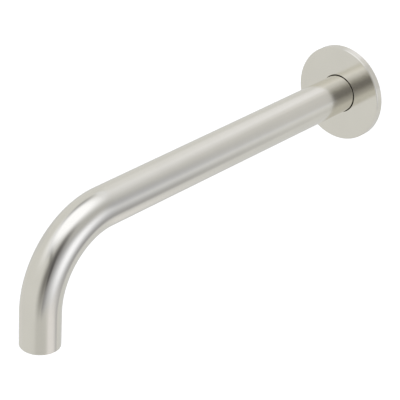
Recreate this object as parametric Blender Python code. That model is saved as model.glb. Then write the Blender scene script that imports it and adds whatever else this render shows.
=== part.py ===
"""Wall mounted bath spout: a bent round tube that reaches out of a flat round flange.

Metres, +Z up. The wall is the plane y = 0 and the spout reaches out along -Y. The origin is where the
arm's axis meets the wall. Pieces on the arm's axis hang from the empty wall_axis, whose local +Z points
away from the wall, and pieces in the outlet hang from outlet_axis, whose local +Z points up the bore.
"""

from math import cos, pi, radians, sin, tan

import bmesh
import bpy
from mathutils import Matrix, Vector

# ---- Driving dimensions -------------------------------------------------------------------------

# Spout tube
REACH = 0.250  # wall to the outlet's axis
DROP = 0.064  # arm's axis down to the outlet's end
BEND_RADIUS = 0.0445  # at the tube's centreline
TUBE_RADIUS = 0.011
TUBE_WALL = 0.0012
TUBE_SETBACK = 0.001  # wall to the tube's rear end
TUBE_END_ROUNDING = 0.0004

# Flange
FLANGE_RADIUS = 0.0281
FLANGE_THICKNESS = 0.0045
FLANGE_FACE_WEB = 0.002  # metal left in front of the recess at the back
FLANGE_RIM_WALL = 0.0025
FLANGE_ROUNDING = 0.0005
FLANGE_GAP = 0.0004  # radial gap that shows between the tube and the flange
FLANGE_LIP = 0.001  # metal on each side of the O-ring groove
FLANGE_HUB_WALL = 0.002  # around the O-ring groove
GRIP_RING_HEIGHT = 0.0023  # radial height of the squeezed O-ring that grips the tube

# Wall nipple: G1/2 pipe thread, spigot for the spout's socket
PIPE_THREAD_CREST = 0.01048
PIPE_THREAD_ROOT = 0.00932
PIPE_THREAD_PITCH = 0.001814
PIPE_THREAD_TURNS = 5
PIPE_THREAD_ANGLE = radians(55)
NIPPLE_TAIL = 0.0172  # wall to the thread's far end
NIPPLE_BORE = 0.005
NIPPLE_HEX_ACROSS_FLATS = 0.012
NIPPLE_HEX_DRILL = 0.0054  # hole that the hexagon is broached in
NIPPLE_HEX_START = 0.006  # wall to that hole's floor
BROACH_RUNOUT = 0.0005  # from the floor to where the hexagon ends
COLLAR_RADIUS = 0.0128
COLLAR_FRONT = 0.0006  # behind the wall
COLLAR_BACK = 0.0032  # behind the wall
SEAL_WASHER_THICKNESS = 0.0015
SPIGOT_RADIUS = 0.0075
SPIGOT_END = 0.032
SPIGOT_CHAMFER = 0.001
O_RING_STATIONS = (0.0215, 0.0275)
O_RING_GROOVE_WIDTH = 0.0026
O_RING_GROOVE_DEPTH = 0.00145
LOCK_GROOVE_DEPTH = 0.0013
LOCK_GROOVE_CLEARANCE = 0.0003  # on each side of the set screw

# Socket brazed into the rear of the tube, and its set screw
SOCKET_END = 0.034
SOCKET_CLEARANCE = 0.00015  # radial, around the spigot
SOCKET_LEAD_IN = 0.0008
BRAZE_GAP = 0.0001
SCREW_STATION = 0.0135
SCREW_RADIUS = 0.0024
SCREW_RECESS = 0.0002  # below the tube's surface
SCREW_TIP_CLEARANCE = 0.0001
SCREW_HEX_ACROSS_FLATS = 0.0025
SCREW_HEX_DEPTH = 0.0022
SCREW_POINT_CHAMFER = 0.0007
SCREW_CUP_RADIUS = 0.001
SCREW_CUP_DEPTH = 0.0004
SCREW_HOLE_CLEARANCE = 0.0002

# Threaded ring brazed into the outlet, heights above the outlet's end
AERATOR_THREAD_PITCH = 0.001
AERATOR_THREAD_CREST = 0.0082
AERATOR_THREAD_ROOT = 0.00765
AERATOR_THREAD_TURNS = 4
AERATOR_THREAD_ANGLE = radians(60)
AERATOR_THREAD_CLEARANCE = 0.00015  # radial, over the crests
OUTLET_RING_BOTTOM = 0.0012
OUTLET_SEAT_THICKNESS = 0.0022
OUTLET_SEAT_RADIUS = 0.0062

# Aerator, which screws into that ring
HOUSING_BOTTOM = 0.0008
HOUSING_LENGTH = 0.0092
HOUSING_WALL = 0.001
HOUSING_LIP_THICKNESS = 0.0009
HOUSING_LIP_WIDTH = 0.0013
KEY_NOTCHES = 8
KEY_NOTCH_WIDTH = 0.0016
KEY_NOTCH_DEPTH = 0.0006
CORE_WALL = 0.0006
CORE_FLANGE_WIDTH = 0.0009
CORE_FLANGE_THICKNESS = 0.0007
CORE_LEDGE_WIDTH = 0.0007
CORE_LEDGE_THICKNESS = 0.0006
AERATOR_WASHER_THICKNESS = 0.0014
HONEYCOMB_THICKNESS = 0.0024
HONEYCOMB_PITCH = 0.0015
HONEYCOMB_WALL = 0.00035
MESH_NAMES = ("aerator_mesh_bottom", "aerator_mesh_middle", "aerator_mesh_top")
MESH_THICKNESS = 0.00035
MESH_SPACING = 0.00015
MESH_PITCH = 0.0023
MESH_WIRE = 0.0006
DIFFUSER_THICKNESS = 0.0011
DIFFUSER_HOLES = 16
DIFFUSER_HOLE_RADIUS = 0.00045
DIFFUSER_RIM = 0.0016  # edge to the holes' centres
STRAINER_WALL = 0.0006
STRAINER_HEIGHT = 0.0034
STRAINER_SLOTS = 6
STRAINER_SLOT_WIDTH = 0.0009
STRAINER_SLOT_START = 0.0016  # from the dome's axis
STRAINER_SLOT_MARGIN = 0.0007  # left uncut at the dome's foot

# Screw threads
THREAD_CREST_SHARE = 0.16  # flat crest, as a share of the pitch
THREAD_SINK = 0.0003  # ridge's foot below the shank's surface

# Fits
FIT_GAP = 0.0001  # between pieces that only touch
GASKET_SIDE_GAP = 0.0004  # beside the foam ring
WASHER_SIDE_GAP = 0.0002  # inside the nipple's sealing washer

# Facets
TUBE_SEGMENTS = 32
BEND_STEPS = 12
FLANGE_SEGMENTS = 48
SEGMENTS = 24  # small turned pieces and threads
SCREW_SEGMENTS = 16
O_RING_SIDES = 8
CORNER_STEPS = 3
DOME_STEPS = 4
SHARP_ANGLE = radians(35)  # edges this sharp aren't shaded smooth
MERGE_DISTANCE = 1e-7
CUT_OVERRUN = 0.001  # how far a cutter runs past the surface that it cuts

# ---- Sizes that follow --------------------------------------------------------------------------

TUBE_BORE = TUBE_RADIUS - TUBE_WALL
ARM_END = REACH - BEND_RADIUS  # wall to where the bend starts
FLANGE_BORE = TUBE_RADIUS + FLANGE_GAP
GRIP_GROOVE = TUBE_RADIUS + GRIP_RING_HEIGHT + 2 * FIT_GAP
FLANGE_HUB = GRIP_GROOVE + FLANGE_HUB_WALL
FLANGE_RECESS = FLANGE_RADIUS - FLANGE_RIM_WALL
RECESS_DEPTH = FLANGE_THICKNESS - FLANGE_FACE_WEB
SOCKET_RADIUS = TUBE_BORE - BRAZE_GAP
SOCKET_BORE = SPIGOT_RADIUS + SOCKET_CLEARANCE
SCREW_HOLE = SCREW_RADIUS + SCREW_HOLE_CLEARANCE
LOCK_GROOVE_HALF_WIDTH = SCREW_RADIUS + LOCK_GROOVE_CLEARANCE
SCREW_LENGTH = TUBE_RADIUS - SCREW_RECESS - (SPIGOT_RADIUS - LOCK_GROOVE_DEPTH) - SCREW_TIP_CLEARANCE
OUTLET_RING_BORE = AERATOR_THREAD_CREST + AERATOR_THREAD_CLEARANCE
HOUSING_BORE = AERATOR_THREAD_ROOT - HOUSING_WALL
HOUSING_TOP = HOUSING_BOTTOM + HOUSING_LENGTH
HOUSING_LIP_TOP = HOUSING_BOTTOM + HOUSING_LIP_THICKNESS
CORE_RADIUS = HOUSING_BORE - FIT_GAP
CORE_BORE = CORE_RADIUS - CORE_WALL
CORE_TOP = HOUSING_TOP + FIT_GAP + CORE_FLANGE_THICKNESS
INSERT_RADIUS = CORE_BORE - FIT_GAP  # discs that drop into the core
HONEYCOMB_BOTTOM = HOUSING_LIP_TOP + FIT_GAP
MESH_BOTTOM = HONEYCOMB_BOTTOM + HONEYCOMB_THICKNESS + FIT_GAP
STRAINER_BOTTOM = CORE_TOP - STRAINER_WALL
DIFFUSER_BOTTOM = STRAINER_BOTTOM - FIT_GAP - DIFFUSER_THICKNESS
LEDGE_TOP = DIFFUSER_BOTTOM - FIT_GAP
WASHER_BOTTOM = CORE_TOP + FIT_GAP
OUTLET_RING_SEAT = WASHER_BOTTOM + AERATOR_WASHER_THICKNESS + FIT_GAP
OUTLET_RING_TOP = OUTLET_RING_SEAT + OUTLET_SEAT_THICKNESS

# ---- Helpers ------------------------------------------------------------------------------------


def clear_scene():
    for obj in list(bpy.data.objects):
        bpy.data.objects.remove(obj)


def material(name, colour, roughness, metallic):
    """A plain Principled material, made once and shared by name."""
    found = bpy.data.materials.get(name)
    if found:
        return found
    made = bpy.data.materials.new(name)
    made.use_nodes = True
    shader = made.node_tree.nodes["Principled BSDF"]
    shader.inputs["Base Color"].default_value = (*colour, 1)
    shader.inputs["Roughness"].default_value = roughness
    shader.inputs["Metallic"].default_value = metallic
    return made


def brushed_nickel():
    return material("brushed nickel", (0.62, 0.60, 0.55), 0.28, 1)


def raw_brass():
    return material("raw brass", (0.72, 0.52, 0.24), 0.35, 1)


def black_rubber():
    return material("black rubber", (0.015, 0.015, 0.016), 0.7, 0)


def white_plastic():
    return material("white plastic", (0.80, 0.80, 0.78), 0.45, 0)


def stainless_wire():
    return material("stainless wire", (0.60, 0.60, 0.60), 0.3, 1)


def black_steel():
    return material("black steel", (0.08, 0.08, 0.085), 0.4, 1)


def foam():
    return material("foam", (0.05, 0.05, 0.05), 0.9, 0)


def add_empty(name, location, rotation):
    empty = bpy.data.objects.new(name, None)
    empty.location = location
    empty.rotation_euler = rotation
    bpy.context.scene.collection.objects.link(empty)
    return empty


def add_object(name, data, parent, finish):
    obj = bpy.data.objects.new(name, data)
    obj.parent = parent
    bpy.context.scene.collection.objects.link(obj)
    if finish:
        data.materials.append(finish)
    return obj


def mesh_from(bm, name):
    """Takes the bmesh's shape as a clean, outward facing, smooth shaded mesh."""
    bmesh.ops.remove_doubles(bm, verts=bm.verts, dist=MERGE_DISTANCE)
    bmesh.ops.recalc_face_normals(bm, faces=bm.faces)
    mesh = bpy.data.meshes.new(name)
    bm.to_mesh(mesh)
    bm.free()
    mesh.shade_smooth()
    mesh.set_sharp_from_angle(angle=SHARP_ANGLE)
    return mesh


def turned(name, profile, parent, finish, segments=SEGMENTS, closed=True):
    """A piece turned round local Z from points (radius, height). An open profile ends on the axis."""
    bm = bmesh.new()
    points = [bm.verts.new((radius, 0, height)) for radius, height in profile]
    pairs = list(zip(points, points[1:]))
    if closed:
        pairs.append((points[-1], points[0]))
    edges = [bm.edges.new(pair) for pair in pairs]
    bmesh.ops.spin(
        bm, geom=points + edges, cent=(0, 0, 0), axis=(0, 0, 1), angle=2 * pi, steps=segments, use_merge=True
    )
    return add_object(name, mesh_from(bm, name), parent, finish)


def thread(name, radii, pitch, angle, start, turns, parent):
    """A right handed screw thread's ridge round local Z, sunk a little into the shank that it joins."""
    root, crest = radii
    foot = root - THREAD_SINK
    crest_half = THREAD_CREST_SHARE * pitch / 2
    foot_half = crest_half + tan(angle / 2) * (crest - foot)
    corners = [(foot, -foot_half), (crest, -crest_half), (crest, crest_half), (foot, foot_half)]
    bm = bmesh.new()
    section = bm.faces.new([bm.verts.new((radius, 0, start + height)) for radius, height in corners])
    bmesh.ops.spin(
        bm,
        geom=[section, *section.edges, *section.verts],
        cent=(0, 0, 0),
        axis=(0, 0, 1),
        dvec=(0, 0, pitch / SEGMENTS),
        angle=2 * pi * turns,
        steps=SEGMENTS * turns,
    )
    return add_object(name, mesh_from(bm, name), parent, None)


def prism(name, sides, radius, bottom, top, parent):
    """An upright prism on local Z, its first corner on local +X."""
    bm = bmesh.new()
    middle = Matrix.Translation((0, 0, (bottom + top) / 2)) @ Matrix.Rotation(pi / 2, 4, "Z")
    bmesh.ops.create_cone(
        bm, cap_ends=True, segments=sides, radius1=radius, radius2=radius, depth=top - bottom, matrix=middle
    )
    return add_object(name, mesh_from(bm, name), parent, None)


def radial_bars(name, count, half_width, inner, outer, bottom, top, parent):
    """Bars that stand like a clock's hour marks round local Z, as one cutter, each over a facet's middle."""
    bm = bmesh.new()
    size = Matrix.Diagonal((outer - inner, 2 * half_width, top - bottom, 1))
    place = Matrix.Translation(((inner + outer) / 2, 0, (bottom + top) / 2))
    for index in range(count):
        turn = Matrix.Rotation(2 * pi * index / count + pi / SEGMENTS, 4, "Z")
        bmesh.ops.create_cube(bm, size=1, matrix=turn @ place @ size)
    return add_object(name, mesh_from(bm, name), parent, None)


def boolean(obj, other, operation):
    """Cuts other from obj, or joins it on, and leaves other as a wire guide that isn't a piece."""
    modifier = obj.modifiers.new(f"{operation.lower()} {other.name}", "BOOLEAN")
    modifier.operation = operation
    modifier.solver = "EXACT"
    modifier.object = other
    other.hide_render = True
    other.display_type = "WIRE"


def perforated(name, thickness, holes, bottom, parent, finish):
    """A disc of the aerator with a hole for each outline in holes: a filled and extruded curve."""
    curve = bpy.data.curves.new(name, "CURVE")
    curve.dimensions = "2D"
    curve.fill_mode = "BOTH"
    curve.extrude = thickness / 2
    for outline in [circle((0, 0), INSERT_RADIUS, SEGMENTS), *holes]:
        spline = curve.splines.new("POLY")
        spline.points.add(len(outline) - 1)
        spline.use_cyclic_u = True
        for point, (x, y) in zip(spline.points, outline):
            point.co = (x, y, 0, 1)
    plate = add_object(name, curve, parent, finish)
    plate.location = (0, 0, bottom + thickness / 2)
    return plate


def circle(centre, radius, sides, phase=0.0):
    angles = [phase + 2 * pi * index / sides for index in range(sides)]
    return [(centre[0] + radius * cos(angle), centre[1] + radius * sin(angle)) for angle in angles]


def oval(inner, outer, low, high, sides=O_RING_SIDES):
    """The cross-section of a squeezed O-ring, as (radius, height) points."""
    middle, half_height = (inner + outer) / 2, (outer - inner) / 2
    centre, half_width = (low + high) / 2, (high - low) / 2
    angles = [2 * pi * (index + 0.5) / sides for index in range(sides)]
    flat = cos(pi / sides)  # puts the section's flats on the stated limits
    return [(middle + half_height * cos(a) / flat, centre + half_width * sin(a) / flat) for a in angles]


def corner(centre, radius, first, last, steps=CORNER_STEPS):
    """Points round a rounded corner, from angle first to angle last in degrees."""
    angles = [radians(first + (last - first) * index / steps) for index in range(steps + 1)]
    return [(centre[0] + radius * cos(a), centre[1] + radius * sin(a)) for a in angles]


# ---- Spout --------------------------------------------------------------------------------------


def spout_tube():
    """The bent tube: a circle drawn along the arm, round the bend and down, then given its wall."""
    bm = bmesh.new()
    facing_wall = Matrix.Translation((0, -TUBE_SETBACK, 0)) @ Matrix.Rotation(pi / 2, 4, "X")
    bmesh.ops.create_circle(bm, radius=TUBE_RADIUS, segments=TUBE_SEGMENTS, matrix=facing_wall)
    arm_end = draw_out(bm, bm.edges[:], (0, TUBE_SETBACK - ARM_END, 0))
    bend = bmesh.ops.spin(
        bm,
        geom=arm_end + list({v for e in arm_end for v in e.verts}),
        cent=(0, -ARM_END, -BEND_RADIUS),
        axis=(1, 0, 0),
        angle=pi / 2,
        steps=BEND_STEPS,
    )
    bend_end = [e for e in bend["geom_last"] if isinstance(e, bmesh.types.BMEdge)]
    draw_out(bm, bend_end, (0, 0, BEND_RADIUS - DROP))
    tube = add_object("spout_tube", mesh_from(bm, "spout_tube"), None, brushed_nickel())
    wall = tube.modifiers.new("tube wall", "SOLIDIFY")
    wall.thickness = TUBE_WALL
    wall.use_even_offset = True
    rounding = tube.modifiers.new("rounded ends", "BEVEL")
    rounding.width = TUBE_END_ROUNDING
    rounding.segments = 2
    rounding.limit_method = "ANGLE"
    rounding.angle_limit = radians(60)


def draw_out(bm, edges, offset):
    """Extrudes a loop of edges and returns the loop at its far end."""
    made = bmesh.ops.extrude_edge_only(bm, edges=edges)["geom"]
    far = {v for v in made if isinstance(v, bmesh.types.BMVert)}
    bmesh.ops.translate(bm, vec=offset, verts=list(far))
    return [e for e in made if isinstance(e, bmesh.types.BMEdge) and far.issuperset(e.verts)]


def inlet_socket(wall_axis):
    profile = [
        (SOCKET_BORE + SOCKET_LEAD_IN, TUBE_SETBACK),
        (SOCKET_RADIUS, TUBE_SETBACK),
        (SOCKET_RADIUS, SOCKET_END),
        (SOCKET_BORE, SOCKET_END),
        (SOCKET_BORE, TUBE_SETBACK + SOCKET_LEAD_IN),
    ]
    return turned("inlet_socket", profile, wall_axis, raw_brass())


def set_screw(screw_axis):
    """A socket set screw with a cup point. Its axis points down, away from the tube's surface."""
    tip, head = -SCREW_RECESS - SCREW_LENGTH, -SCREW_RECESS
    profile = [
        (0, tip + SCREW_CUP_DEPTH),
        (SCREW_CUP_RADIUS, tip),
        (SCREW_RADIUS - SCREW_POINT_CHAMFER, tip),
        (SCREW_RADIUS, tip + SCREW_POINT_CHAMFER),
        (SCREW_RADIUS, head),
        (0, head),
    ]
    screw = turned("set_screw", profile, screw_axis, black_steel(), closed=False)
    across_corners = SCREW_HEX_ACROSS_FLATS / 2 / cos(pi / 6)
    low, high = head - SCREW_HEX_DEPTH, head + CUT_OVERRUN
    key = prism("set_screw_hexagon", 6, across_corners, low, high, screw_axis)
    boolean(screw, key, "DIFFERENCE")


# ---- Wall nipple --------------------------------------------------------------------------------


def wall_nipple(wall_axis):
    """Turned from one bar: pipe thread, collar and spigot, with a hexagon for the fitter's key."""
    spigot = [(COLLAR_RADIUS, -COLLAR_FRONT), (SPIGOT_RADIUS, -COLLAR_FRONT)]
    grooves = [(SCREW_STATION, LOCK_GROOVE_HALF_WIDTH, LOCK_GROOVE_DEPTH)]
    grooves += [(station, O_RING_GROOVE_WIDTH / 2, O_RING_GROOVE_DEPTH) for station in O_RING_STATIONS]
    for station, half_width, depth in grooves:
        for side, radius in ((-1, 0), (-1, depth), (1, depth), (1, 0)):
            spigot.append((SPIGOT_RADIUS - radius, station + side * half_width))
    profile = [
        (NIPPLE_BORE, SPIGOT_END),
        (NIPPLE_BORE, -NIPPLE_HEX_START),
        (NIPPLE_HEX_DRILL, -NIPPLE_HEX_START),
        (NIPPLE_HEX_DRILL, -NIPPLE_TAIL),
        (PIPE_THREAD_ROOT, -NIPPLE_TAIL),
        (PIPE_THREAD_ROOT, -COLLAR_BACK),
        (COLLAR_RADIUS, -COLLAR_BACK),
        *spigot,
        (SPIGOT_RADIUS, SPIGOT_END - SPIGOT_CHAMFER),
        (SPIGOT_RADIUS - SPIGOT_CHAMFER, SPIGOT_END),
    ]
    nipple = turned("wall_nipple", profile, wall_axis, raw_brass())
    ridge = thread(
        "pipe_thread",
        (PIPE_THREAD_ROOT, PIPE_THREAD_CREST),
        PIPE_THREAD_PITCH,
        PIPE_THREAD_ANGLE,
        -NIPPLE_TAIL + PIPE_THREAD_PITCH,
        PIPE_THREAD_TURNS,
        wall_axis,
    )
    boolean(nipple, ridge, "UNION")
    across_corners = NIPPLE_HEX_ACROSS_FLATS / 2 / cos(pi / 6)
    low, high = -NIPPLE_TAIL - CUT_OVERRUN, -NIPPLE_HEX_START - BROACH_RUNOUT
    key = prism("nipple_hexagon", 6, across_corners, low, high, wall_axis)
    boolean(nipple, key, "DIFFERENCE")


def nipple_seals(wall_axis):
    bottom = SPIGOT_RADIUS - O_RING_GROOVE_DEPTH
    for name, station in zip(("nipple_o_ring_rear", "nipple_o_ring_front"), O_RING_STATIONS):
        half_width = O_RING_GROOVE_WIDTH / 2 - FIT_GAP
        section = oval(bottom + FIT_GAP, SOCKET_BORE - FIT_GAP, station - half_width, station + half_width)
        turned(name, section, wall_axis, black_rubber())
    front = -COLLAR_BACK - FIT_GAP
    inner = PIPE_THREAD_CREST + WASHER_SIDE_GAP
    washer = ring_section(inner, COLLAR_RADIUS, front - SEAL_WASHER_THICKNESS, front)
    turned("nipple_seal_washer", washer, wall_axis, black_rubber())


def ring_section(inner, outer, low, high):
    return [(inner, low), (outer, low), (outer, high), (inner, high)]


# ---- Flange -------------------------------------------------------------------------------------


def flange_plate(wall_axis):
    """A flat disc, hollow at the back, with an O-ring groove in its hub."""
    rounding = FLANGE_ROUNDING
    rim_corner = (FLANGE_RADIUS - rounding, FLANGE_THICKNESS - rounding)
    profile = [
        (FLANGE_BORE, 0),
        (FLANGE_HUB, 0),
        (FLANGE_HUB, RECESS_DEPTH),
        (FLANGE_RECESS, RECESS_DEPTH),
        (FLANGE_RECESS, 0),
        (FLANGE_RADIUS, 0),
        *corner(rim_corner, rounding, 0, 90),
        (FLANGE_BORE, FLANGE_THICKNESS),
        (FLANGE_BORE, FLANGE_THICKNESS - FLANGE_LIP),
        (GRIP_GROOVE, FLANGE_THICKNESS - FLANGE_LIP),
        (GRIP_GROOVE, FLANGE_LIP),
        (FLANGE_BORE, FLANGE_LIP),
    ]
    turned("flange_plate", profile, wall_axis, brushed_nickel(), segments=FLANGE_SEGMENTS)


def flange_seals(wall_axis):
    low, high = FLANGE_LIP + FIT_GAP, FLANGE_THICKNESS - FLANGE_LIP - FIT_GAP
    grip = oval(TUBE_RADIUS + FIT_GAP, GRIP_GROOVE - FIT_GAP, low, high)
    turned("flange_o_ring", grip, wall_axis, black_rubber(), segments=FLANGE_SEGMENTS)
    inner, outer = FLANGE_HUB + GASKET_SIDE_GAP, FLANGE_RECESS - GASKET_SIDE_GAP
    gasket = ring_section(inner, outer, FIT_GAP, RECESS_DEPTH - FIT_GAP)
    turned("flange_gasket", gasket, wall_axis, foam(), segments=FLANGE_SEGMENTS)


# ---- Outlet and aerator -------------------------------------------------------------------------


def outlet_ring(outlet_axis):
    """The ring that the aerator screws into. Its bore clears the thread's crests."""
    profile = [
        (OUTLET_RING_BORE, OUTLET_RING_BOTTOM),
        (SOCKET_RADIUS, OUTLET_RING_BOTTOM),
        (SOCKET_RADIUS, OUTLET_RING_TOP),
        (OUTLET_SEAT_RADIUS, OUTLET_RING_TOP),
        (OUTLET_SEAT_RADIUS, OUTLET_RING_SEAT),
        (OUTLET_RING_BORE, OUTLET_RING_SEAT),
    ]
    turned("outlet_ring", profile, outlet_axis, raw_brass())


def aerator_housing(outlet_axis):
    """The threaded shell, with notches under its rim for the fitter's key."""
    lip = HOUSING_BORE - HOUSING_LIP_WIDTH
    profile = [
        (lip, HOUSING_BOTTOM),
        (AERATOR_THREAD_ROOT, HOUSING_BOTTOM),
        (AERATOR_THREAD_ROOT, HOUSING_TOP),
        (HOUSING_BORE, HOUSING_TOP),
        (HOUSING_BORE, HOUSING_LIP_TOP),
        (lip, HOUSING_LIP_TOP),
    ]
    housing = turned("aerator_housing", profile, outlet_axis, white_plastic())
    ridge = thread(
        "aerator_thread",
        (AERATOR_THREAD_ROOT, AERATOR_THREAD_CREST),
        AERATOR_THREAD_PITCH,
        AERATOR_THREAD_ANGLE,
        HOUSING_BOTTOM + KEY_NOTCH_DEPTH + AERATOR_THREAD_PITCH,
        AERATOR_THREAD_TURNS,
        outlet_axis,
    )
    boolean(housing, ridge, "UNION")
    low, high = HOUSING_BOTTOM - CUT_OVERRUN, HOUSING_BOTTOM + KEY_NOTCH_DEPTH
    outer = AERATOR_THREAD_CREST + CUT_OVERRUN
    notches = radial_bars(
        "key_notches", KEY_NOTCHES, KEY_NOTCH_WIDTH / 2, HOUSING_BORE, outer, low, high, outlet_axis
    )
    boolean(housing, notches, "DIFFERENCE")


def aerator_core(outlet_axis):
    """The sleeve that carries the discs, hung by its flange on the housing."""
    ledge = CORE_BORE - CORE_LEDGE_WIDTH
    flange_bottom = HOUSING_TOP + FIT_GAP
    flange = CORE_RADIUS + CORE_FLANGE_WIDTH
    profile = [
        (CORE_BORE, HONEYCOMB_BOTTOM),
        (CORE_RADIUS, HONEYCOMB_BOTTOM),
        (CORE_RADIUS, flange_bottom),
        (flange, flange_bottom),
        (flange, CORE_TOP),
        (CORE_BORE, CORE_TOP),
        (CORE_BORE, LEDGE_TOP),
        (ledge, LEDGE_TOP),
        (ledge, LEDGE_TOP - CORE_LEDGE_THICKNESS),
        (CORE_BORE, LEDGE_TOP - CORE_LEDGE_THICKNESS),
    ]
    turned("aerator_core", profile, outlet_axis, white_plastic())


def aerator_washer(outlet_axis):
    washer = ring_section(
        CORE_BORE, CORE_RADIUS + CORE_FLANGE_WIDTH, WASHER_BOTTOM, WASHER_BOTTOM + AERATOR_WASHER_THICKNESS
    )
    turned("aerator_washer", washer, outlet_axis, black_rubber())


def aerator_honeycomb(outlet_axis):
    """Hexagonal cells on a hexagonal grid that fills the disc."""
    cell = (HONEYCOMB_PITCH - HONEYCOMB_WALL) / 2 / cos(pi / 6)
    cells = []
    rings = int(INSERT_RADIUS / HONEYCOMB_PITCH) + 1
    for column in range(-rings, rings + 1):
        for row in range(-2 * rings, 2 * rings + 1):
            centre = (HONEYCOMB_PITCH * cos(pi / 6) * column, HONEYCOMB_PITCH * (row + column / 2))
            if Vector(centre).length + cell < INSERT_RADIUS - HONEYCOMB_WALL:
                cells.append(circle(centre, cell, 6))
    finish = white_plastic()
    perforated("aerator_honeycomb", HONEYCOMB_THICKNESS, cells, HONEYCOMB_BOTTOM, outlet_axis, finish)


def aerator_meshes(outlet_axis):
    """Wire screens with square openings, each turned a little from the one below."""
    half = (MESH_PITCH - MESH_WIRE) / 2
    reach = int(INSERT_RADIUS / MESH_PITCH) + 1
    centres = [
        (MESH_PITCH * column, MESH_PITCH * row)
        for column in range(-reach, reach + 1)
        for row in range(-reach, reach + 1)
    ]
    furthest = INSERT_RADIUS - MESH_WIRE - half * 2**0.5
    openings = [
        circle(centre, half * 2**0.5, 4, pi / 4) for centre in centres if Vector(centre).length < furthest
    ]
    for index, name in enumerate(MESH_NAMES):
        bottom = MESH_BOTTOM + index * (MESH_THICKNESS + MESH_SPACING)
        screen = perforated(name, MESH_THICKNESS, openings, bottom, outlet_axis, stainless_wire())
        screen.rotation_euler = (0, 0, index * 2 * pi / SEGMENTS)


def aerator_diffuser(outlet_axis):
    """Splits the water into a ring of thin jets."""
    centres = circle((0, 0), INSERT_RADIUS - DIFFUSER_RIM, DIFFUSER_HOLES)
    holes = [circle(centre, DIFFUSER_HOLE_RADIUS, 6) for centre in centres]
    perforated("aerator_diffuser", DIFFUSER_THICKNESS, holes, DIFFUSER_BOTTOM, outlet_axis, white_plastic())


def aerator_strainer(outlet_axis):
    """A slotted dome that keeps grit out of the diffuser."""
    rise = STRAINER_HEIGHT - STRAINER_WALL
    dome = INSERT_RADIUS - STRAINER_WALL
    angles = [pi / 2 * index / DOME_STEPS for index in range(DOME_STEPS + 1)]
    top = STRAINER_BOTTOM + STRAINER_WALL
    outside = [(dome * cos(a), top + rise * sin(a)) for a in angles]
    inner, inner_rise = dome - STRAINER_WALL, rise - STRAINER_WALL
    inside = [(inner * cos(a), top + inner_rise * sin(a)) for a in reversed(angles)]
    outside[-1], inside[0] = (0, outside[-1][1]), (0, inside[0][1])
    foot = [(inner, STRAINER_BOTTOM), (INSERT_RADIUS, STRAINER_BOTTOM), (INSERT_RADIUS, top)]
    profile = [*inside, *foot, *outside]
    strainer = turned("aerator_strainer", profile, outlet_axis, white_plastic(), closed=False)
    slots = radial_bars(
        "strainer_slots",
        STRAINER_SLOTS,
        STRAINER_SLOT_WIDTH / 2,
        STRAINER_SLOT_START,
        dome - STRAINER_SLOT_MARGIN,
        top + STRAINER_SLOT_MARGIN,
        top + rise + CUT_OVERRUN,
        outlet_axis,
    )
    boolean(strainer, slots, "DIFFERENCE")


# ---- Assembly -----------------------------------------------------------------------------------


def drill_screw_hole(screw_axis):
    """One hole through the tube's wall and the socket under it, square to the arm."""
    for name in ("spout_tube", "inlet_socket"):
        drill = prism(f"{name}_drill", SCREW_SEGMENTS, SCREW_HOLE, -TUBE_RADIUS / 2, CUT_OVERRUN, screw_axis)
        boolean(bpy.data.objects[name], drill, "DIFFERENCE")


def main():
    clear_scene()
    wall_axis = add_empty("wall_axis", (0, 0, 0), (pi / 2, 0, 0))
    outlet_axis = add_empty("outlet_axis", (0, -REACH, -DROP), (0, 0, 0))
    screw_axis = add_empty("screw_axis", (0, -SCREW_STATION, -TUBE_RADIUS), (pi, 0, 0))
    spout_tube()
    inlet_socket(wall_axis)
    wall_nipple(wall_axis)
    nipple_seals(wall_axis)
    set_screw(screw_axis)
    drill_screw_hole(screw_axis)
    flange_plate(wall_axis)
    flange_seals(wall_axis)
    outlet_ring(outlet_axis)
    aerator_housing(outlet_axis)
    aerator_core(outlet_axis)
    aerator_washer(outlet_axis)
    aerator_honeycomb(outlet_axis)
    aerator_meshes(outlet_axis)
    aerator_diffuser(outlet_axis)
    aerator_strainer(outlet_axis)


main()
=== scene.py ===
"""Looks of a wall mounted bath spout: nickel tube and flange, brass nipple, plastic aerator.

Metres, +Z up. The wall is the plane y = 0, the arm reaches out along -Y and the outlet points
down. Turned pieces are drawn on Z and then laid on the arm's axis or stood in the outlet.
"""

import logging
from dataclasses import dataclass, field, replace
from enum import Enum
from math import atan2, cos, pi, radians, sin, tan, tau
from typing import Sequence

import bpy
from mathutils import Matrix, Vector


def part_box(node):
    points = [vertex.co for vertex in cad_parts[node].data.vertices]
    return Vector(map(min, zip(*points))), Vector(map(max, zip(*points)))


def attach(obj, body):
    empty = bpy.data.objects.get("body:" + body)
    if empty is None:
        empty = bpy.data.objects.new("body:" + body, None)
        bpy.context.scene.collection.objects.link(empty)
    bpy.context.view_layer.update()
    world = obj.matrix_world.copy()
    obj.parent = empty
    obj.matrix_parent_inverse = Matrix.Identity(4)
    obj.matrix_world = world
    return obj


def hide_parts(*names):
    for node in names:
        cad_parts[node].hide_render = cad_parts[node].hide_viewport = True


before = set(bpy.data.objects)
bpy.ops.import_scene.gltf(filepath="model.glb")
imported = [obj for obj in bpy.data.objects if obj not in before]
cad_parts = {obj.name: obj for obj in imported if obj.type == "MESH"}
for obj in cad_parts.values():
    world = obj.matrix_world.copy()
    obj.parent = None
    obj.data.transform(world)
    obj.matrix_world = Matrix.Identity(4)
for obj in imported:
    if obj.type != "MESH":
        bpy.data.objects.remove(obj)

logging.basicConfig(level=logging.INFO, format="%(name)s: %(message)s")
log = logging.getLogger("bath_spout")

Colour = tuple[float, float, float]
Point = tuple[float, float]
Outline = Sequence[Point]
Piece = bpy.types.Object
Socket = bpy.types.NodeSocket
Inputs = dict[str | int, object]


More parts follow.
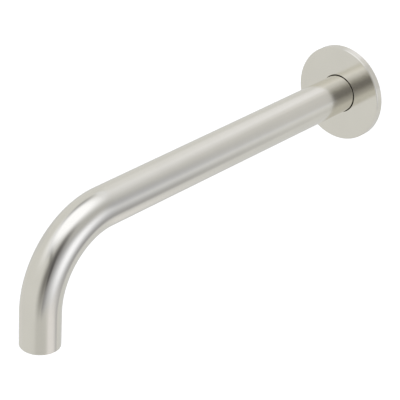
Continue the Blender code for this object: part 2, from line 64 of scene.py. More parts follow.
class Body(Enum):
    """The rigid bodies that the spout's pieces belong to."""

    SPOUT = "spout"
    SCREW = "locking_screw"
    GRIP = "flange_grip"
    FLANGE = "flange"
    CARTRIDGE = "aerator_cartridge"
    SHELL = "aerator_shell"


class Slot(Enum):
    """The material slots that the pieces take their finish from."""

    NICKEL = "brushed_nickel"
    BRASS = "raw_brass"
    RUBBER = "black_rubber"
    PLASTIC = "white_plastic"
    WIRE = "stainless_wire"
    STEEL = "black_steel"
    FOAM = "foam"


class Grain(Enum):
    """How the fine lines of a finish run over a piece."""

    ROUND_TUBE = "rings round the tube, through its bend"
    TURNED_ON_ARM = "rings round the arm's axis"
    TURNED_ON_OUTLET = "rings round the outlet's axis"
    NONE = "the same in every direction"


# ---- Finishes ----

# Attributes of the meshes. UNROLLED holds a tube point's distance from the centreline, its place
# along the centreline and its place round it. ACROSS_GRAIN holds the direction across the lines.
UNROLLED = "unrolled"
ACROSS_GRAIN = "across_grain"

RING_LENGTH = 0.01  # metres that one radian of a turned piece counts for in its grain
GRAIN_DETAIL = 4  # octaves of the grain's noise
GRAIN_HARSHNESS = 0.6  # strength of each finer octave
GRAIN_SPAN = (0.25, 0.75)  # values of the grain that the roughness runs between
MOTTLE_DETAIL = 3  # octaves of the colour's noise
MOTTLE_SPAN = (0.3, 0.7)  # values of that noise that the colour runs between


class Wiring:
    """Adds nodes to a node tree and links them.

    Args:
        tree: The node tree.
    """

    def __init__(self, tree: bpy.types.NodeTree) -> None:
        self.tree = tree

    def feed(self, node: bpy.types.Node, inputs: Inputs) -> None:
        """Links or sets a node's inputs.

        Args:
            node: The node.
            inputs: For each input, by name or number, a socket to link or a value to set.
        """
        for name, value in inputs.items():
            if isinstance(value, Socket):
                self.tree.links.new(value, node.inputs[name])
            else:
                node.inputs[name].default_value = value

    def add(
        self, kind: str, output: str, inputs: Inputs | None = None, **settings: object
    ) -> Socket:
        """Adds a node.

        Args:
            kind: The node's type, without the leading ShaderNode.
            output: The output that is wanted.
            inputs: What goes into it, as for feed.
            settings: Its other settings.

        Returns:
            The wanted output.
        """
        node = self.tree.nodes.new("ShaderNode" + kind)
        for setting, value in settings.items():
            setattr(node, setting, value)
        self.feed(node, inputs or {})
        return node.outputs[output]

    def split(self, vector: Socket) -> list[Socket]:
        """Splits a vector.

        Args:
            vector: The vector.

        Returns:
            Its X, Y and Z.
        """
        node = self.tree.nodes.new("ShaderNodeSeparateXYZ")
        self.feed(node, {"Vector": vector})
        return [node.outputs[axis] for axis in "XYZ"]

    def length(self, first: Socket, second: Socket) -> Socket:
        """The length of a flat vector.

        Args:
            first: Its first part.
            second: Its second part.

        Returns:
            The length.
        """
        flat = self.add("CombineXYZ", "Vector", {"X": first, "Y": second})
        return self.add("VectorMath", "Value", {0: flat}, operation="LENGTH")

    def math(self, operation: str, first: Socket, second: Socket | float) -> Socket:
        """One step of arithmetic.

        Args:
            operation: The step.
            first: The first value.
            second: The second value.

        Returns:
            The result.
        """
        return self.add("Math", "Value", {0: first, 1: second}, operation=operation)

    def mix(self, share: Socket, under: Socket, over: Sequence[float]) -> Socket:
        """Lays one colour over another.

        Args:
            share: How much of the upper colour shows, from 0 to 1.
            under: The lower colour.
            over: The upper colour.

        Returns:
            The mixed colour.
        """
        inputs = {"Factor": share, "A": under, "B": over}
        return self.add("Mix", "Result", inputs, data_type="RGBA")


@dataclass(frozen=True)
class Finish:
    """A surface finish: a colour that wanders a little, fine grain in its roughness, and a bump.

    Args:
        name: The material's name.
        slot: The material slot that pieces with this finish take.
        colour: Base colour.
        metallic: 1 for a metal and 0 for the rest.
        roughness: Middle roughness.
        roughness_spread: How far the grain moves the roughness either way.
        mottle: How far the colour wanders, as a share of the colour.
        mottle_scale: Patches of wandering colour per metre.
        grain: How the grain's lines run.
        grain_scale: Grain lines per metre, across the lines.
        grain_stretch: A grain line's length over its width.
        bump: Height of the grain in metres.
        anisotropy: How much wider reflections spread across the lines than along them, from 0 to 1.
    """

    name: str
    slot: Slot
    colour: Colour
    metallic: float
    roughness: float
    roughness_spread: float
    mottle: float
    mottle_scale: float
    grain: Grain
    grain_scale: float
    grain_stretch: float
    bump: float
    anisotropy: float = 0.0

    def material(self) -> bpy.types.Material:
        """Makes the material, or finds it if it was made before.

        Returns:
            The node material.
        """
        found = bpy.data.materials.get(self.name)
        if found:
            return found
        made = bpy.data.materials.new(self.name)
        made.use_nodes = True
        made.diffuse_color = (*self.colour, 1)
        wiring = Wiring(made.node_tree)
        shader = made.node_tree.nodes["Principled BSDF"]
        grain = self._grain(wiring)
        bump = {"Strength": 1, "Distance": self.bump, "Height": grain}
        wiring.feed(shader, {
            "Metallic": self.metallic,
            "Base Color": self._colour(wiring),
            "Roughness": self._roughness(wiring, grain),
            "Normal": wiring.add("Bump", "Normal", bump),
        })
        if self.anisotropy:
            across = wiring.add("Attribute", "Vector", attribute_name=ACROSS_GRAIN)
            turned = wiring.add(
                "VectorTransform", "Vector", {"Vector": across},
                vector_type="VECTOR", convert_from="OBJECT", convert_to="WORLD",
            )
            wiring.feed(shader, {"Anisotropic": self.anisotropy, "Tangent": turned})
        return made

    def _place(self, wiring: Wiring) -> Socket:
        """Coordinates in which the grain's lines run along Z.

        Args:
            wiring: The material's wiring.

        Returns:
            The coordinates.
        """
        if self.grain is Grain.ROUND_TUBE:
            return wiring.add("Attribute", "Vector", attribute_name=UNROLLED)
        place = wiring.add("TexCoord", "Object")
        if self.grain is Grain.NONE:
            return place
        if self.grain is Grain.TURNED_ON_ARM:
            inputs = {"Vector": place, "Rotation": (pi / 2, 0, 0)}
        else:
            inputs = {"Vector": place, "Location": tuple(-c for c in Places.OUTLET)}
        x, y, z = wiring.split(wiring.add("Mapping", "Vector", inputs, vector_type="POINT"))
        along = wiring.math("MULTIPLY", wiring.math("ARCTAN2", y, x), RING_LENGTH)
        rings = {"X": wiring.length(x, y), "Y": z, "Z": along}
        return wiring.add("CombineXYZ", "Vector", rings)

    def _grain(self, wiring: Wiring) -> Socket:
        """Noise drawn out along the grain's lines.

        Args:
            wiring: The material's wiring.

        Returns:
            The grain, from 0 to 1.
        """
        across = self.grain_scale
        scale = (across, across, across / self.grain_stretch)
        inputs = {"Vector": self._place(wiring), "Scale": scale}
        lines = wiring.add("Mapping", "Vector", inputs, vector_type="POINT")
        return wiring.add("TexNoise", "Fac", {
            "Vector": lines, "Scale": 1, "Detail": GRAIN_DETAIL, "Roughness": GRAIN_HARSHNESS,
        })

    def _colour(self, wiring: Wiring) -> Socket:
        """The base colour, a little lighter and darker in soft patches.

        Args:
            wiring: The material's wiring.

        Returns:
            The colour.
        """
        patches = wiring.add("TexNoise", "Fac", {
            "Vector": wiring.add("TexCoord", "Object"), "Scale": self.mottle_scale,
            "Detail": MOTTLE_DETAIL,
        })
        ramp = wiring.tree.nodes.new("ShaderNodeValToRGB")
        low, high = ramp.color_ramp.elements
        low.position, high.position = MOTTLE_SPAN
        low.color = (*(c * (1 - self.mottle) for c in self.colour), 1)
        high.color = (*(min(1.0, c * (1 + self.mottle)) for c in self.colour), 1)
        wiring.feed(ramp, {"Fac": patches})
        return ramp.outputs["Color"]

    def _roughness(self, wiring: Wiring, grain: Socket) -> Socket:
        """Roughness that follows the grain.

        Args:
            wiring: The material's wiring.
            grain: The grain, from 0 to 1.

        Returns:
            The roughness.
        """
        return wiring.add("MapRange", "Result", {
            "Value": grain, "From Min": GRAIN_SPAN[0], "From Max": GRAIN_SPAN[1],
            "To Min": self.roughness - self.roughness_spread,
            "To Max": self.roughness + self.roughness_spread,
        })


class Places:
    """The tube's radius, reach and drop, and the outlet's place, all taken from the frame."""

    _tube_low, _tube_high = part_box("spout_tube")
    TUBE_RADIUS: float = _tube_high.x
    REACH: float = -_tube_low.y - _tube_high.x
    DROP: float = -_tube_low.z
    OUTLET: Vector = Vector((0, -REACH, -DROP))


class Finishes:
    """Every finish on the object."""

    NICKEL_TUBE = Finish(
        name="nickel_brushed_round", slot=Slot.NICKEL, colour=(0.868, 0.846, 0.778), metallic=1,
        roughness=0.12, roughness_spread=0.025, mottle=0.012, mottle_scale=60,
        grain=Grain.ROUND_TUBE, grain_scale=9000, grain_stretch=90, bump=1.2e-7, anisotropy=0.8,
    )
    NICKEL_TURNED = replace(
        NICKEL_TUBE, name="nickel_brushed_in_rings", grain=Grain.TURNED_ON_ARM
    )
    BRASS_ON_ARM = Finish(
        name="brass_turned_on_arm", slot=Slot.BRASS, colour=(0.70, 0.50, 0.24), metallic=1,
        roughness=0.28, roughness_spread=0.06, mottle=0.05, mottle_scale=120,
        grain=Grain.TURNED_ON_ARM, grain_scale=6000, grain_stretch=60, bump=6e-7,
    )
    BRASS_IN_OUTLET = replace(
        BRASS_ON_ARM, name="brass_turned_in_outlet", grain=Grain.TURNED_ON_OUTLET
    )
    RUBBER = Finish(
        name="rubber_moulded", slot=Slot.RUBBER, colour=(0.018, 0.018, 0.019), metallic=0,
        roughness=0.62, roughness_spread=0.08, mottle=0.15, mottle_scale=300,
        grain=Grain.NONE, grain_scale=2500, grain_stretch=1, bump=8e-6,
    )
    PLASTIC = Finish(
        name="acetal_moulded", slot=Slot.PLASTIC, colour=(0.78, 0.78, 0.75), metallic=0,
        roughness=0.42, roughness_spread=0.06, mottle=0.02, mottle_scale=200,
        grain=Grain.NONE, grain_scale=3000, grain_stretch=1, bump=3e-6,
    )
    WIRE = Finish(
        name="stainless_wire", slot=Slot.WIRE, colour=(0.58, 0.57, 0.55), metallic=1,
        roughness=0.30, roughness_spread=0.06, mottle=0.05, mottle_scale=400,
        grain=Grain.NONE, grain_scale=5000, grain_stretch=1, bump=2e-6,
    )
    STEEL = Finish(
        name="steel_black_oxide", slot=Slot.STEEL, colour=(0.045, 0.045, 0.05), metallic=1,
        roughness=0.42, roughness_spread=0.08, mottle=0.15, mottle_scale=400,
        grain=Grain.NONE, grain_scale=4000, grain_stretch=1, bump=3e-6,
    )
    FOAM = Finish(
        name="foam_closed_cell", slot=Slot.FOAM, colour=(0.035, 0.035, 0.037), metallic=0,
        roughness=0.92, roughness_spread=0.05, mottle=0.25, mottle_scale=500,
        grain=Grain.NONE, grain_scale=1800, grain_stretch=1, bump=1.2e-4,
    )


# ---- Modelling steps ----

HEXAGON = 6  # sides
CORNER_PER_FLAT = 1 / cos(pi / 6)  # a hexagon's radius to its corners over that to its flats
OVERCUT = 0.001  # how far a cutter reaches past the face that it opens
MERGE_DISTANCE = 1e-7  # points nearer than this become one
THREAD_SINK = 0.15  # how deep a ridge's foot sits in its shank, in pitches
THREAD_CREST = 0.07  # half the width of a ridge's crest, in pitches
THREAD_STEPS = 64  # facets round one turn of a thread


class Bench:
    """The modelling steps that the pieces are made with."""

    @staticmethod
    def clear() -> None:
        """Deselects every object."""
        bpy.ops.object.select_all(action="DESELECT")

    @staticmethod
    def take(piece: Piece) -> None:
        """Selects one piece alone and makes it active.

        Args:
            piece: The piece to work on.
        """
        Bench.clear()
        piece.select_set(True)
        bpy.context.view_layer.objects.active = piece

    @staticmethod
    def open(piece: Piece, select: str = "SELECT") -> None:
        """Takes a piece into edit mode, working on edges.

        Args:
            piece: The piece to edit.
            select: SELECT to start with all of it selected, DESELECT with none.
        """
        Bench.take(piece)
        bpy.ops.object.mode_set(mode="EDIT")
        bpy.ops.mesh.select_mode(type="EDGE")
        bpy.ops.mesh.select_all(action=select)

    @staticmethod
    def close() -> None:
        """Merges doubles, turns the faces outwards and leaves edit mode."""
        bpy.ops.mesh.select_all(action="SELECT")
        bpy.ops.mesh.remove_doubles(threshold=MERGE_DISTANCE)
        bpy.ops.mesh.normals_make_consistent(inside=False)
        bpy.ops.object.mode_set(mode="OBJECT")

    @staticmethod
    def settle(
        piece: Piece, turn: Sequence[float] = (0, 0, 0), place: Sequence[float] = (0, 0, 0)
    ) -> None:
        """Turns and moves a piece, and puts that place into its mesh.

        Args:
            piece: The piece, drawn on Z at the origin.
            turn: Rotation about X, Y and Z.
            place: Where its origin goes.
        """
        Bench.take(piece)
        piece.rotation_euler = turn
        piece.location = place
        bpy.ops.object.transform_apply(location=True, rotation=True, scale=True)

    @staticmethod
    def draw_on(offset: Sequence[float]) -> None:
        """Extrudes the selected loop.

        Args:
            offset: How far the new loop moves.
        """
        bpy.ops.mesh.extrude_region_move(TRANSFORM_OT_translate={"value": tuple(offset)})

    @staticmethod
    def turned(name: str, outline: Outline, segments: int, closed: bool = True) -> Piece:
        """Draws a turned piece on Z: a circle, extruded and scaled along its outline.

        Args:
            name: The piece's name.
            outline: Points (radius, height), none on the axis.
            segments: Facets round the piece.
            closed: Joins the last circle to the first. Otherwise both ends get a flat face.

        Returns:
            The piece.
        """
        Bench.clear()
        radius, height = outline[0]
        bpy.ops.mesh.primitive_circle_add(
            vertices=segments, radius=radius, location=(0, 0, height)
        )
        piece = bpy.context.active_object
        piece.name = name
        bpy.ops.object.transform_apply(location=True)
        Bench.open(piece)
        for (radius, height), (next_radius, next_height) in zip(outline, outline[1:]):
            Bench.draw_on((0, 0, next_height - height))
            growth = next_radius / radius
            bpy.ops.transform.resize(
                value=(growth, growth, 1), center_override=(0, 0, next_height)
            )
        bpy.ops.mesh.select_all(action="DESELECT")
        bpy.ops.mesh.select_non_manifold()
        if closed:
            bpy.ops.mesh.bridge_edge_loops()
        else:
            bpy.ops.mesh.fill_holes(sides=0)
        Bench.close()
        return piece

    @staticmethod
    def modify(piece: Piece, kind: str, **settings: object) -> None:
        """Adds a modifier to a piece, sets it and applies it.

        Args:
            piece: The piece.
            kind: The modifier's type.
            settings: Its settings.
        """
        Bench.take(piece)
        bpy.ops.object.modifier_add(type=kind)
        modifier = piece.modifiers[-1]
        for setting, value in settings.items():
            setattr(modifier, setting, value)
        bpy.ops.object.modifier_apply(modifier=modifier.name)

    @staticmethod
    def round_edges(
        piece: Piece, width: float, segments: int = 3, sharper_than: float = 40
    ) -> None:
        """Rounds a piece's edges.

        Args:
            piece: The piece.
            width: The rounding's width.
            segments: Facets across the rounding.
            sharper_than: Least angle of the edges that are rounded, in degrees.
        """
        Bench.modify(
            piece, "BEVEL", width=width, segments=segments, limit_method="ANGLE",
            angle_limit=radians(sharper_than), use_clamp_overlap=True,
        )

    @staticmethod
    def cut(piece: Piece, cutter: Piece) -> None:
        """Cuts one piece with another, which is used up.

        Args:
            piece: The piece that stays.
            cutter: The piece that is cut away.
        """
        Bench.modify(piece, "BOOLEAN", operation="DIFFERENCE", solver="EXACT", object=cutter)
        bpy.data.objects.remove(cutter)

    @staticmethod
    def prism(sides: int, radius: float, bottom: float, top: float) -> Piece:
        """An upright prism on Z, its first corner on +X.

        Args:
            sides: Number of sides.
            radius: Radius to the corners.
            bottom: Height of its foot.
            top: Height of its head.

        Returns:
            The prism.
        """
        Bench.clear()
        bpy.ops.mesh.primitive_cylinder_add(
            vertices=sides, radius=radius, depth=top - bottom,
            location=(0, 0, (bottom + top) / 2), rotation=(0, 0, pi / 2),
        )
        made = bpy.context.active_object
        bpy.ops.object.transform_apply(location=True, rotation=True)
        return made

    @staticmethod
    def joined(pieces: Sequence[Piece]) -> Piece:
        """Joins pieces into the first of them.

        Args:
            pieces: The pieces.

        Returns:
            The first piece, which now holds them all.
        """
        Bench.clear()
        for piece in pieces:
            piece.select_set(True)
        bpy.context.view_layer.objects.active = pieces[0]
        bpy.ops.object.join()
        return pieces[0]

    @staticmethod
    def thread(
        root: float, crest: float, pitch: float, angle: float, start: float, turns: int
    ) -> Piece:
        """A right handed screw thread's ridge on Z, with closed ends.

        Args:
            root: Radius of the shank, which the ridge's foot sinks into.
            crest: Radius of the ridge's crest.
            pitch: Height of one turn.
            angle: Angle between the ridge's flanks, in degrees.
            start: Height of the first turn's middle.
            turns: Number of turns.

        Returns:
            The ridge.
        """
        sink = THREAD_SINK * pitch
        crest_half = THREAD_CREST * pitch
        foot_half = crest_half + (crest - root + sink) * tan(radians(angle / 2))
        Bench.clear()
        bpy.ops.mesh.primitive_plane_add(size=1, location=(0, 0, 0))
        ridge = bpy.context.active_object
        corners = (
            (root - sink, -foot_half), (crest, -crest_half),
            (root - sink, foot_half), (crest, crest_half),
        )
        for vertex, (radius, height) in zip(ridge.data.vertices, corners):
            vertex.co = (radius, 0, start + height)
        Bench.open(ridge)
        bpy.ops.mesh.delete(type="ONLY_FACE")
        bpy.ops.object.mode_set(mode="OBJECT")
        Bench.modify(
            ridge, "SCREW", axis="Z", screw_offset=pitch, iterations=turns, steps=THREAD_STEPS,
            render_steps=THREAD_STEPS, use_merge_vertices=False,
        )
        Bench.open(ridge, "DESELECT")
        bpy.ops.mesh.select_non_manifold()
        bpy.ops.mesh.fill_holes(sides=4)
        Bench.close()
        return ridge

    @staticmethod
    def arc(
        centre: Point, radius: float, first: float, last: float, steps: int = 6
    ) -> list[Point]:
        """Points round an arc.

        Args:
            centre: The arc's centre, as (radius, height).
            radius: The arc's radius.
            first: First angle in degrees, from the outward direction towards up.
            last: Last angle in degrees.
            steps: Facets along the arc.

        Returns:
            Points (radius, height).
        """
        angles = [radians(first + (last - first) * step / steps) for step in range(steps + 1)]
        return [
            (centre[0] + radius * cos(angle), centre[1] + radius * sin(angle)) for angle in angles
        ]

    @staticmethod
    def fit(
        piece: Piece, body: Body, finish: Finish, stands_for: str, smooth: float = 35
    ) -> None:
        """Finishes a piece: smooth shading, material, its body and the CAD node that it stands for.

        Args:
            piece: The finished mesh.
            body: The body that it moves with.
            finish: Its finish.
            stands_for: The CAD node that it replaces.
            smooth: Edges sharper than this, in degrees, stay sharp.
        """
        Bench.take(piece)
        bpy.ops.object.shade_smooth_by_angle(angle=radians(smooth))
        Bench.modify(piece, "WEIGHTED_NORMAL", mode="FACE_AREA", weight=50, keep_sharp=True)
        piece.data.materials.clear()
        piece.data.materials.append(finish.material())
        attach(piece, body.value)
        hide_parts(stands_for)
        log.info("%s: %d faces, %s", piece.name, len(piece.data.polygons), finish.name)

    @staticmethod
    def dress(node: str, finish: Finish) -> None:
        """Gives a CAD node that stays a finish.

        Args:
            node: The CAD node.
            finish: Its finish.
        """
        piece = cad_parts[node]
        piece.data.materials.clear()
        piece.data.materials.append(finish.material())
        log.info("%s stays, %s", node, finish.name)


# ---- Spout ----

LAID_ON_ARM = (pi / 2, 0, 0)  # turns a piece drawn on Z so that its height runs out along the arm
HEAD_DOWN = (pi, 0, 0)  # turns a piece drawn on Z so that its foot points up


@dataclass
class Spout:
    """The bent tube, the socket and ring brazed into its ends, and the set screw under it.

    Args:
        radius: Outer radius of the tube.
        wall: Thickness of its wall.
        bend_radius: Radius of the bend's centreline.
        end_rounding: Rounding on the tube's cut ends.
        segments: Facets round the tube.
        bend_steps: Facets round the bend.
        screw_hole: Radius of the set screw's hole.
        ring_bore: Radius of the outlet ring's bore.
        seat_bore: Radius of the opening in the seat above the aerator.
        seat_thickness: Thickness of that seat.
        ring_rounding: Rounding on the outlet ring's edges.
        screw_thread: Depth of the set screw's thread.
        screw_pitch: Pitch of that thread.
        screw_chamfer: Chamfer on the set screw's ends.
        key_corner: Radius to the corners of the set screw's hexagon.
        key_depth: Depth of that hexagon.
        rear: Where the tube ends at the wall, on Y.
        screw_station: Where the set screw sits, on Y.
    """

    radius: float = Places.TUBE_RADIUS
    wall: float = 0.0012
    bend_radius: float = 0.0445
    end_rounding: float = 0.0004
    segments: int = 144
    bend_steps: int = 60
    screw_hole: float = 0.0026
    ring_bore: float = 0.0084
    seat_bore: float = 0.0062
    seat_thickness: float = 0.0022
    ring_rounding: float = 0.0002
    screw_thread: float = 0.0004
    screw_pitch: float = 0.0008
    screw_chamfer: float = 0.0005
    key_corner: float = 0.00144
    key_depth: float = 0.0022
    rear: float = field(default_factory=lambda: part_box("spout_tube")[1].y)
    screw_station: float = field(
        default_factory=lambda: sum(c.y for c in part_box("set_screw")) / 2
    )

    def build(self) -> None:
        """Builds the tube and the pieces at its ends."""
        self.tube()
        self.outlet_ring()
        self.set_screw()
        Bench.dress("inlet_socket", Finishes.BRASS_ON_ARM)

    def tube(self) -> None:
        """Draws a circle along the arm, round the bend and down, and gives it its wall."""
        arm_end = -(Places.REACH - self.bend_radius)
        Bench.clear()
        bpy.ops.mesh.primitive_circle_add(
            vertices=self.segments, radius=self.radius, location=(0, self.rear, 0),
            rotation=LAID_ON_ARM,
        )
        tube = bpy.context.active_object
        tube.name = "brushed_spout_tube"
        bpy.ops.object.transform_apply(location=True, rotation=True)
        Bench.open(tube)
        Bench.draw_on((0, arm_end - self.rear, 0))
        bpy.ops.mesh.spin(
            steps=self.bend_steps, angle=-pi / 2, center=(0, arm_end, -self.bend_radius),
            axis=(1, 0, 0),
        )
        Bench.draw_on((0, 0, self.bend_radius - Places.DROP))
        Bench.close()
        Bench.modify(tube, "SOLIDIFY", thickness=self.wall, offset=-1, use_even_offset=True)
        Bench.round_edges(tube, self.end_rounding, sharper_than=60)
        drill = Bench.prism(48, self.screw_hole, 0, 2 * self.wall)
        Bench.settle(drill, place=(0, self.screw_station, -self.radius - self.wall / 2))
        Bench.cut(tube, drill)
        self._unroll(tube, arm_end)
        Bench.fit(tube, Body.SPOUT, Finishes.NICKEL_TUBE, "spout_tube")

    def _unroll(self, tube: Piece, arm_end: float) -> None:
        """Stores each point's unrolled place, and the centreline's direction there.

        Args:
            tube: The finished tube.
            arm_end: Where the bend starts, on Y.
        """
        places = tube.data.attributes.new(UNROLLED, "FLOAT_VECTOR", "POINT")
        across = tube.data.attributes.new(ACROSS_GRAIN, "FLOAT_VECTOR", "POINT")
        for vertex, place, direction in zip(tube.data.vertices, places.data, across.data):
            x, y, z = vertex.co
            turn = min(max(atan2(arm_end - y, z + self.bend_radius), 0), pi / 2)
            if y >= arm_end:
                away, along = z, -y
            elif z <= -self.bend_radius:
                away = -Places.REACH - y
                along = -arm_end + self.bend_radius * (pi / 2 - 1) - z
                turn = pi / 2
            else:
                away = Vector((arm_end - y, z + self.bend_radius)).length - self.bend_radius
                along = -arm_end + self.bend_radius * turn
            place.vector = (Vector((x, away)).length, along, self.radius * atan2(x, away))
            direction.vector = (0, -cos(turn), -sin(turn))

    def outlet_ring(self) -> None:
        """The brass ring in the outlet, with the seat that the aerator's washer meets."""
        low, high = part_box("outlet_ring")
        outer, bottom, top = high.x, low.z - Places.OUTLET.z, high.z - Places.OUTLET.z
        seat = top - self.seat_thickness
        outline = [
            (self.ring_bore, bottom), (outer, bottom), (outer, top),
            (self.seat_bore, top), (self.seat_bore, seat), (self.ring_bore, seat),
        ]
        ring = Bench.turned("brass_outlet_ring", outline, segments=96)
        Bench.round_edges(ring, self.ring_rounding)
        Bench.settle(ring, place=Places.OUTLET)
        Bench.fit(ring, Body.SPOUT, Finishes.BRASS_IN_OUTLET, "outlet_ring")

    def set_screw(self) -> None:
        """The set screw, head down under the arm, with its thread and hexagon."""
        low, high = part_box("set_screw")
        radius, length = high.x, high.z - low.z
        root, chamfer = radius - self.screw_thread, self.screw_chamfer
        outline = [
            (radius - 3 * chamfer, 0), (root - chamfer, 0), (root, chamfer),
            (root, length - chamfer), (root - chamfer, length),
        ]
        shank = Bench.turned("black_set_screw", outline, segments=48, closed=False)
        key = Bench.prism(HEXAGON, self.key_corner, length - self.key_depth, length + OVERCUT)
        Bench.cut(shank, key)
        ridge = Bench.thread(
            root, radius, self.screw_pitch, angle=60, start=self.screw_pitch, turns=3
        )
        screw = Bench.joined([shank, ridge])
        Bench.settle(screw, HEAD_DOWN, (0, self.screw_station, high.z))
        Bench.fit(screw, Body.SCREW, Finishes.STEEL, "set_screw")


# ---- Wall nipple ----


@dataclass
class WallNipple:
    """The brass nipple that the spout hangs on, with its seals.

    Args:
        thread_root: Root radius of the pipe thread.
        thread_crest: Crest radius of the pipe thread.
        pitch: The pipe thread's pitch.
        bore: Radius of the water way.
        thread_chamfer: Chamfer on the pipe thread's first turn.
        hexagon: Width across the flats of the key's hexagon.
        hexagon_end: Height at which the hexagon ends.
        bore_start: Height at which the water way narrows to its bore.
        collar_back: Height of the collar's side towards the wall.
        collar_front: Height of its other side.
        spigot: Radius of the spigot in the spout's socket.
        nose_chamfer: Chamfer on the spigot's end.
        grooves: Middle, half width and depth of each groove: the set screw's, then the O-rings'.
        washer_gap: Radial gap between the thread and the seal washer.
        segments: Facets round the nipple.
    """

    thread_root: float = 0.00932
    thread_crest: float = 0.01048
    pitch: float = 0.001814
    bore: float = 0.005
    thread_chamfer: float = 0.0006
    hexagon: float = 0.012
    hexagon_end: float = -0.0065
    bore_start: float = -0.006
    collar_back: float = -0.0032
    collar_front: float = -0.0006
    spigot: float = 0.0075
    nose_chamfer: float = 0.001
    grooves: Sequence[tuple[float, float, float]] = (
        (0.0135, 0.0027, 0.0013),
        (0.0215, 0.0013, 0.00145),
        (0.0275, 0.0013, 0.00145),
    )
    washer_gap: float = 0.0002
    segments: int = 128

    def build(self) -> None:
        """Builds the nipple and dresses its seals."""
        self.nipple()
        self.seal_washer()
        for node in ("nipple_o_ring_rear", "nipple_o_ring_front"):
            Bench.dress(node, Finishes.RUBBER)

    def nipple(self) -> None:
        """The nipple, with pipe thread, collar, spigot, grooves and hexagon."""
        low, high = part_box("wall_nipple")
        tail, nose, collar = -high.y, -low.y, high.x
        pilot = 0.9 * self.hexagon / 2  # a round hole that the hexagon then widens
        steps: list[Point] = []
        for middle, half, depth in self.grooves:
            steps += [(self.spigot, middle - half), (self.spigot - depth, middle - half)]
            steps += [(self.spigot - depth, middle + half), (self.spigot, middle + half)]
        outline = [
            (self.bore, nose), (self.bore, self.bore_start), (pilot, self.bore_start),
            (pilot, tail), (self.thread_root - self.thread_chamfer, tail),
            (self.thread_root, tail + self.thread_chamfer), (self.thread_root, self.collar_back),
            (collar, self.collar_back), (collar, self.collar_front),
            (self.spigot, self.collar_front), *steps, (self.spigot, nose - self.nose_chamfer),
            (self.spigot - self.nose_chamfer, nose),
        ]
        shank = Bench.turned("brass_wall_nipple", outline, self.segments)
        corner = self.hexagon / 2 * CORNER_PER_FLAT
        Bench.cut(shank, Bench.prism(HEXAGON, corner, tail - OVERCUT, self.hexagon_end))
        Bench.round_edges(shank, width=0.00015, segments=2, sharper_than=50)
        ridge = Bench.thread(
            self.thread_root, self.thread_crest, self.pitch,
            angle=55, start=tail + self.pitch, turns=6,
        )
        nipple = Bench.joined([shank, ridge])
        Bench.settle(nipple, LAID_ON_ARM)
        Bench.fit(nipple, Body.SPOUT, Finishes.BRASS_ON_ARM, "wall_nipple")

    def seal_washer(self) -> None:
        """The flat rubber washer behind the collar."""
        low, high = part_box("nipple_seal_washer")
        back, front, outer = -high.y, -low.y, high.x
        inner = self.thread_crest + self.washer_gap
        outline = [(inner, back), (outer, back), (outer, front), (inner, front)]
        washer = Bench.turned("rubber_seal_washer", outline, self.segments)
        Bench.round_edges(washer, width=0.0003)
        Bench.settle(washer, LAID_ON_ARM)
        Bench.fit(washer, Body.SPOUT, Finishes.RUBBER, "nipple_seal_washer")


# ---- Flange ----


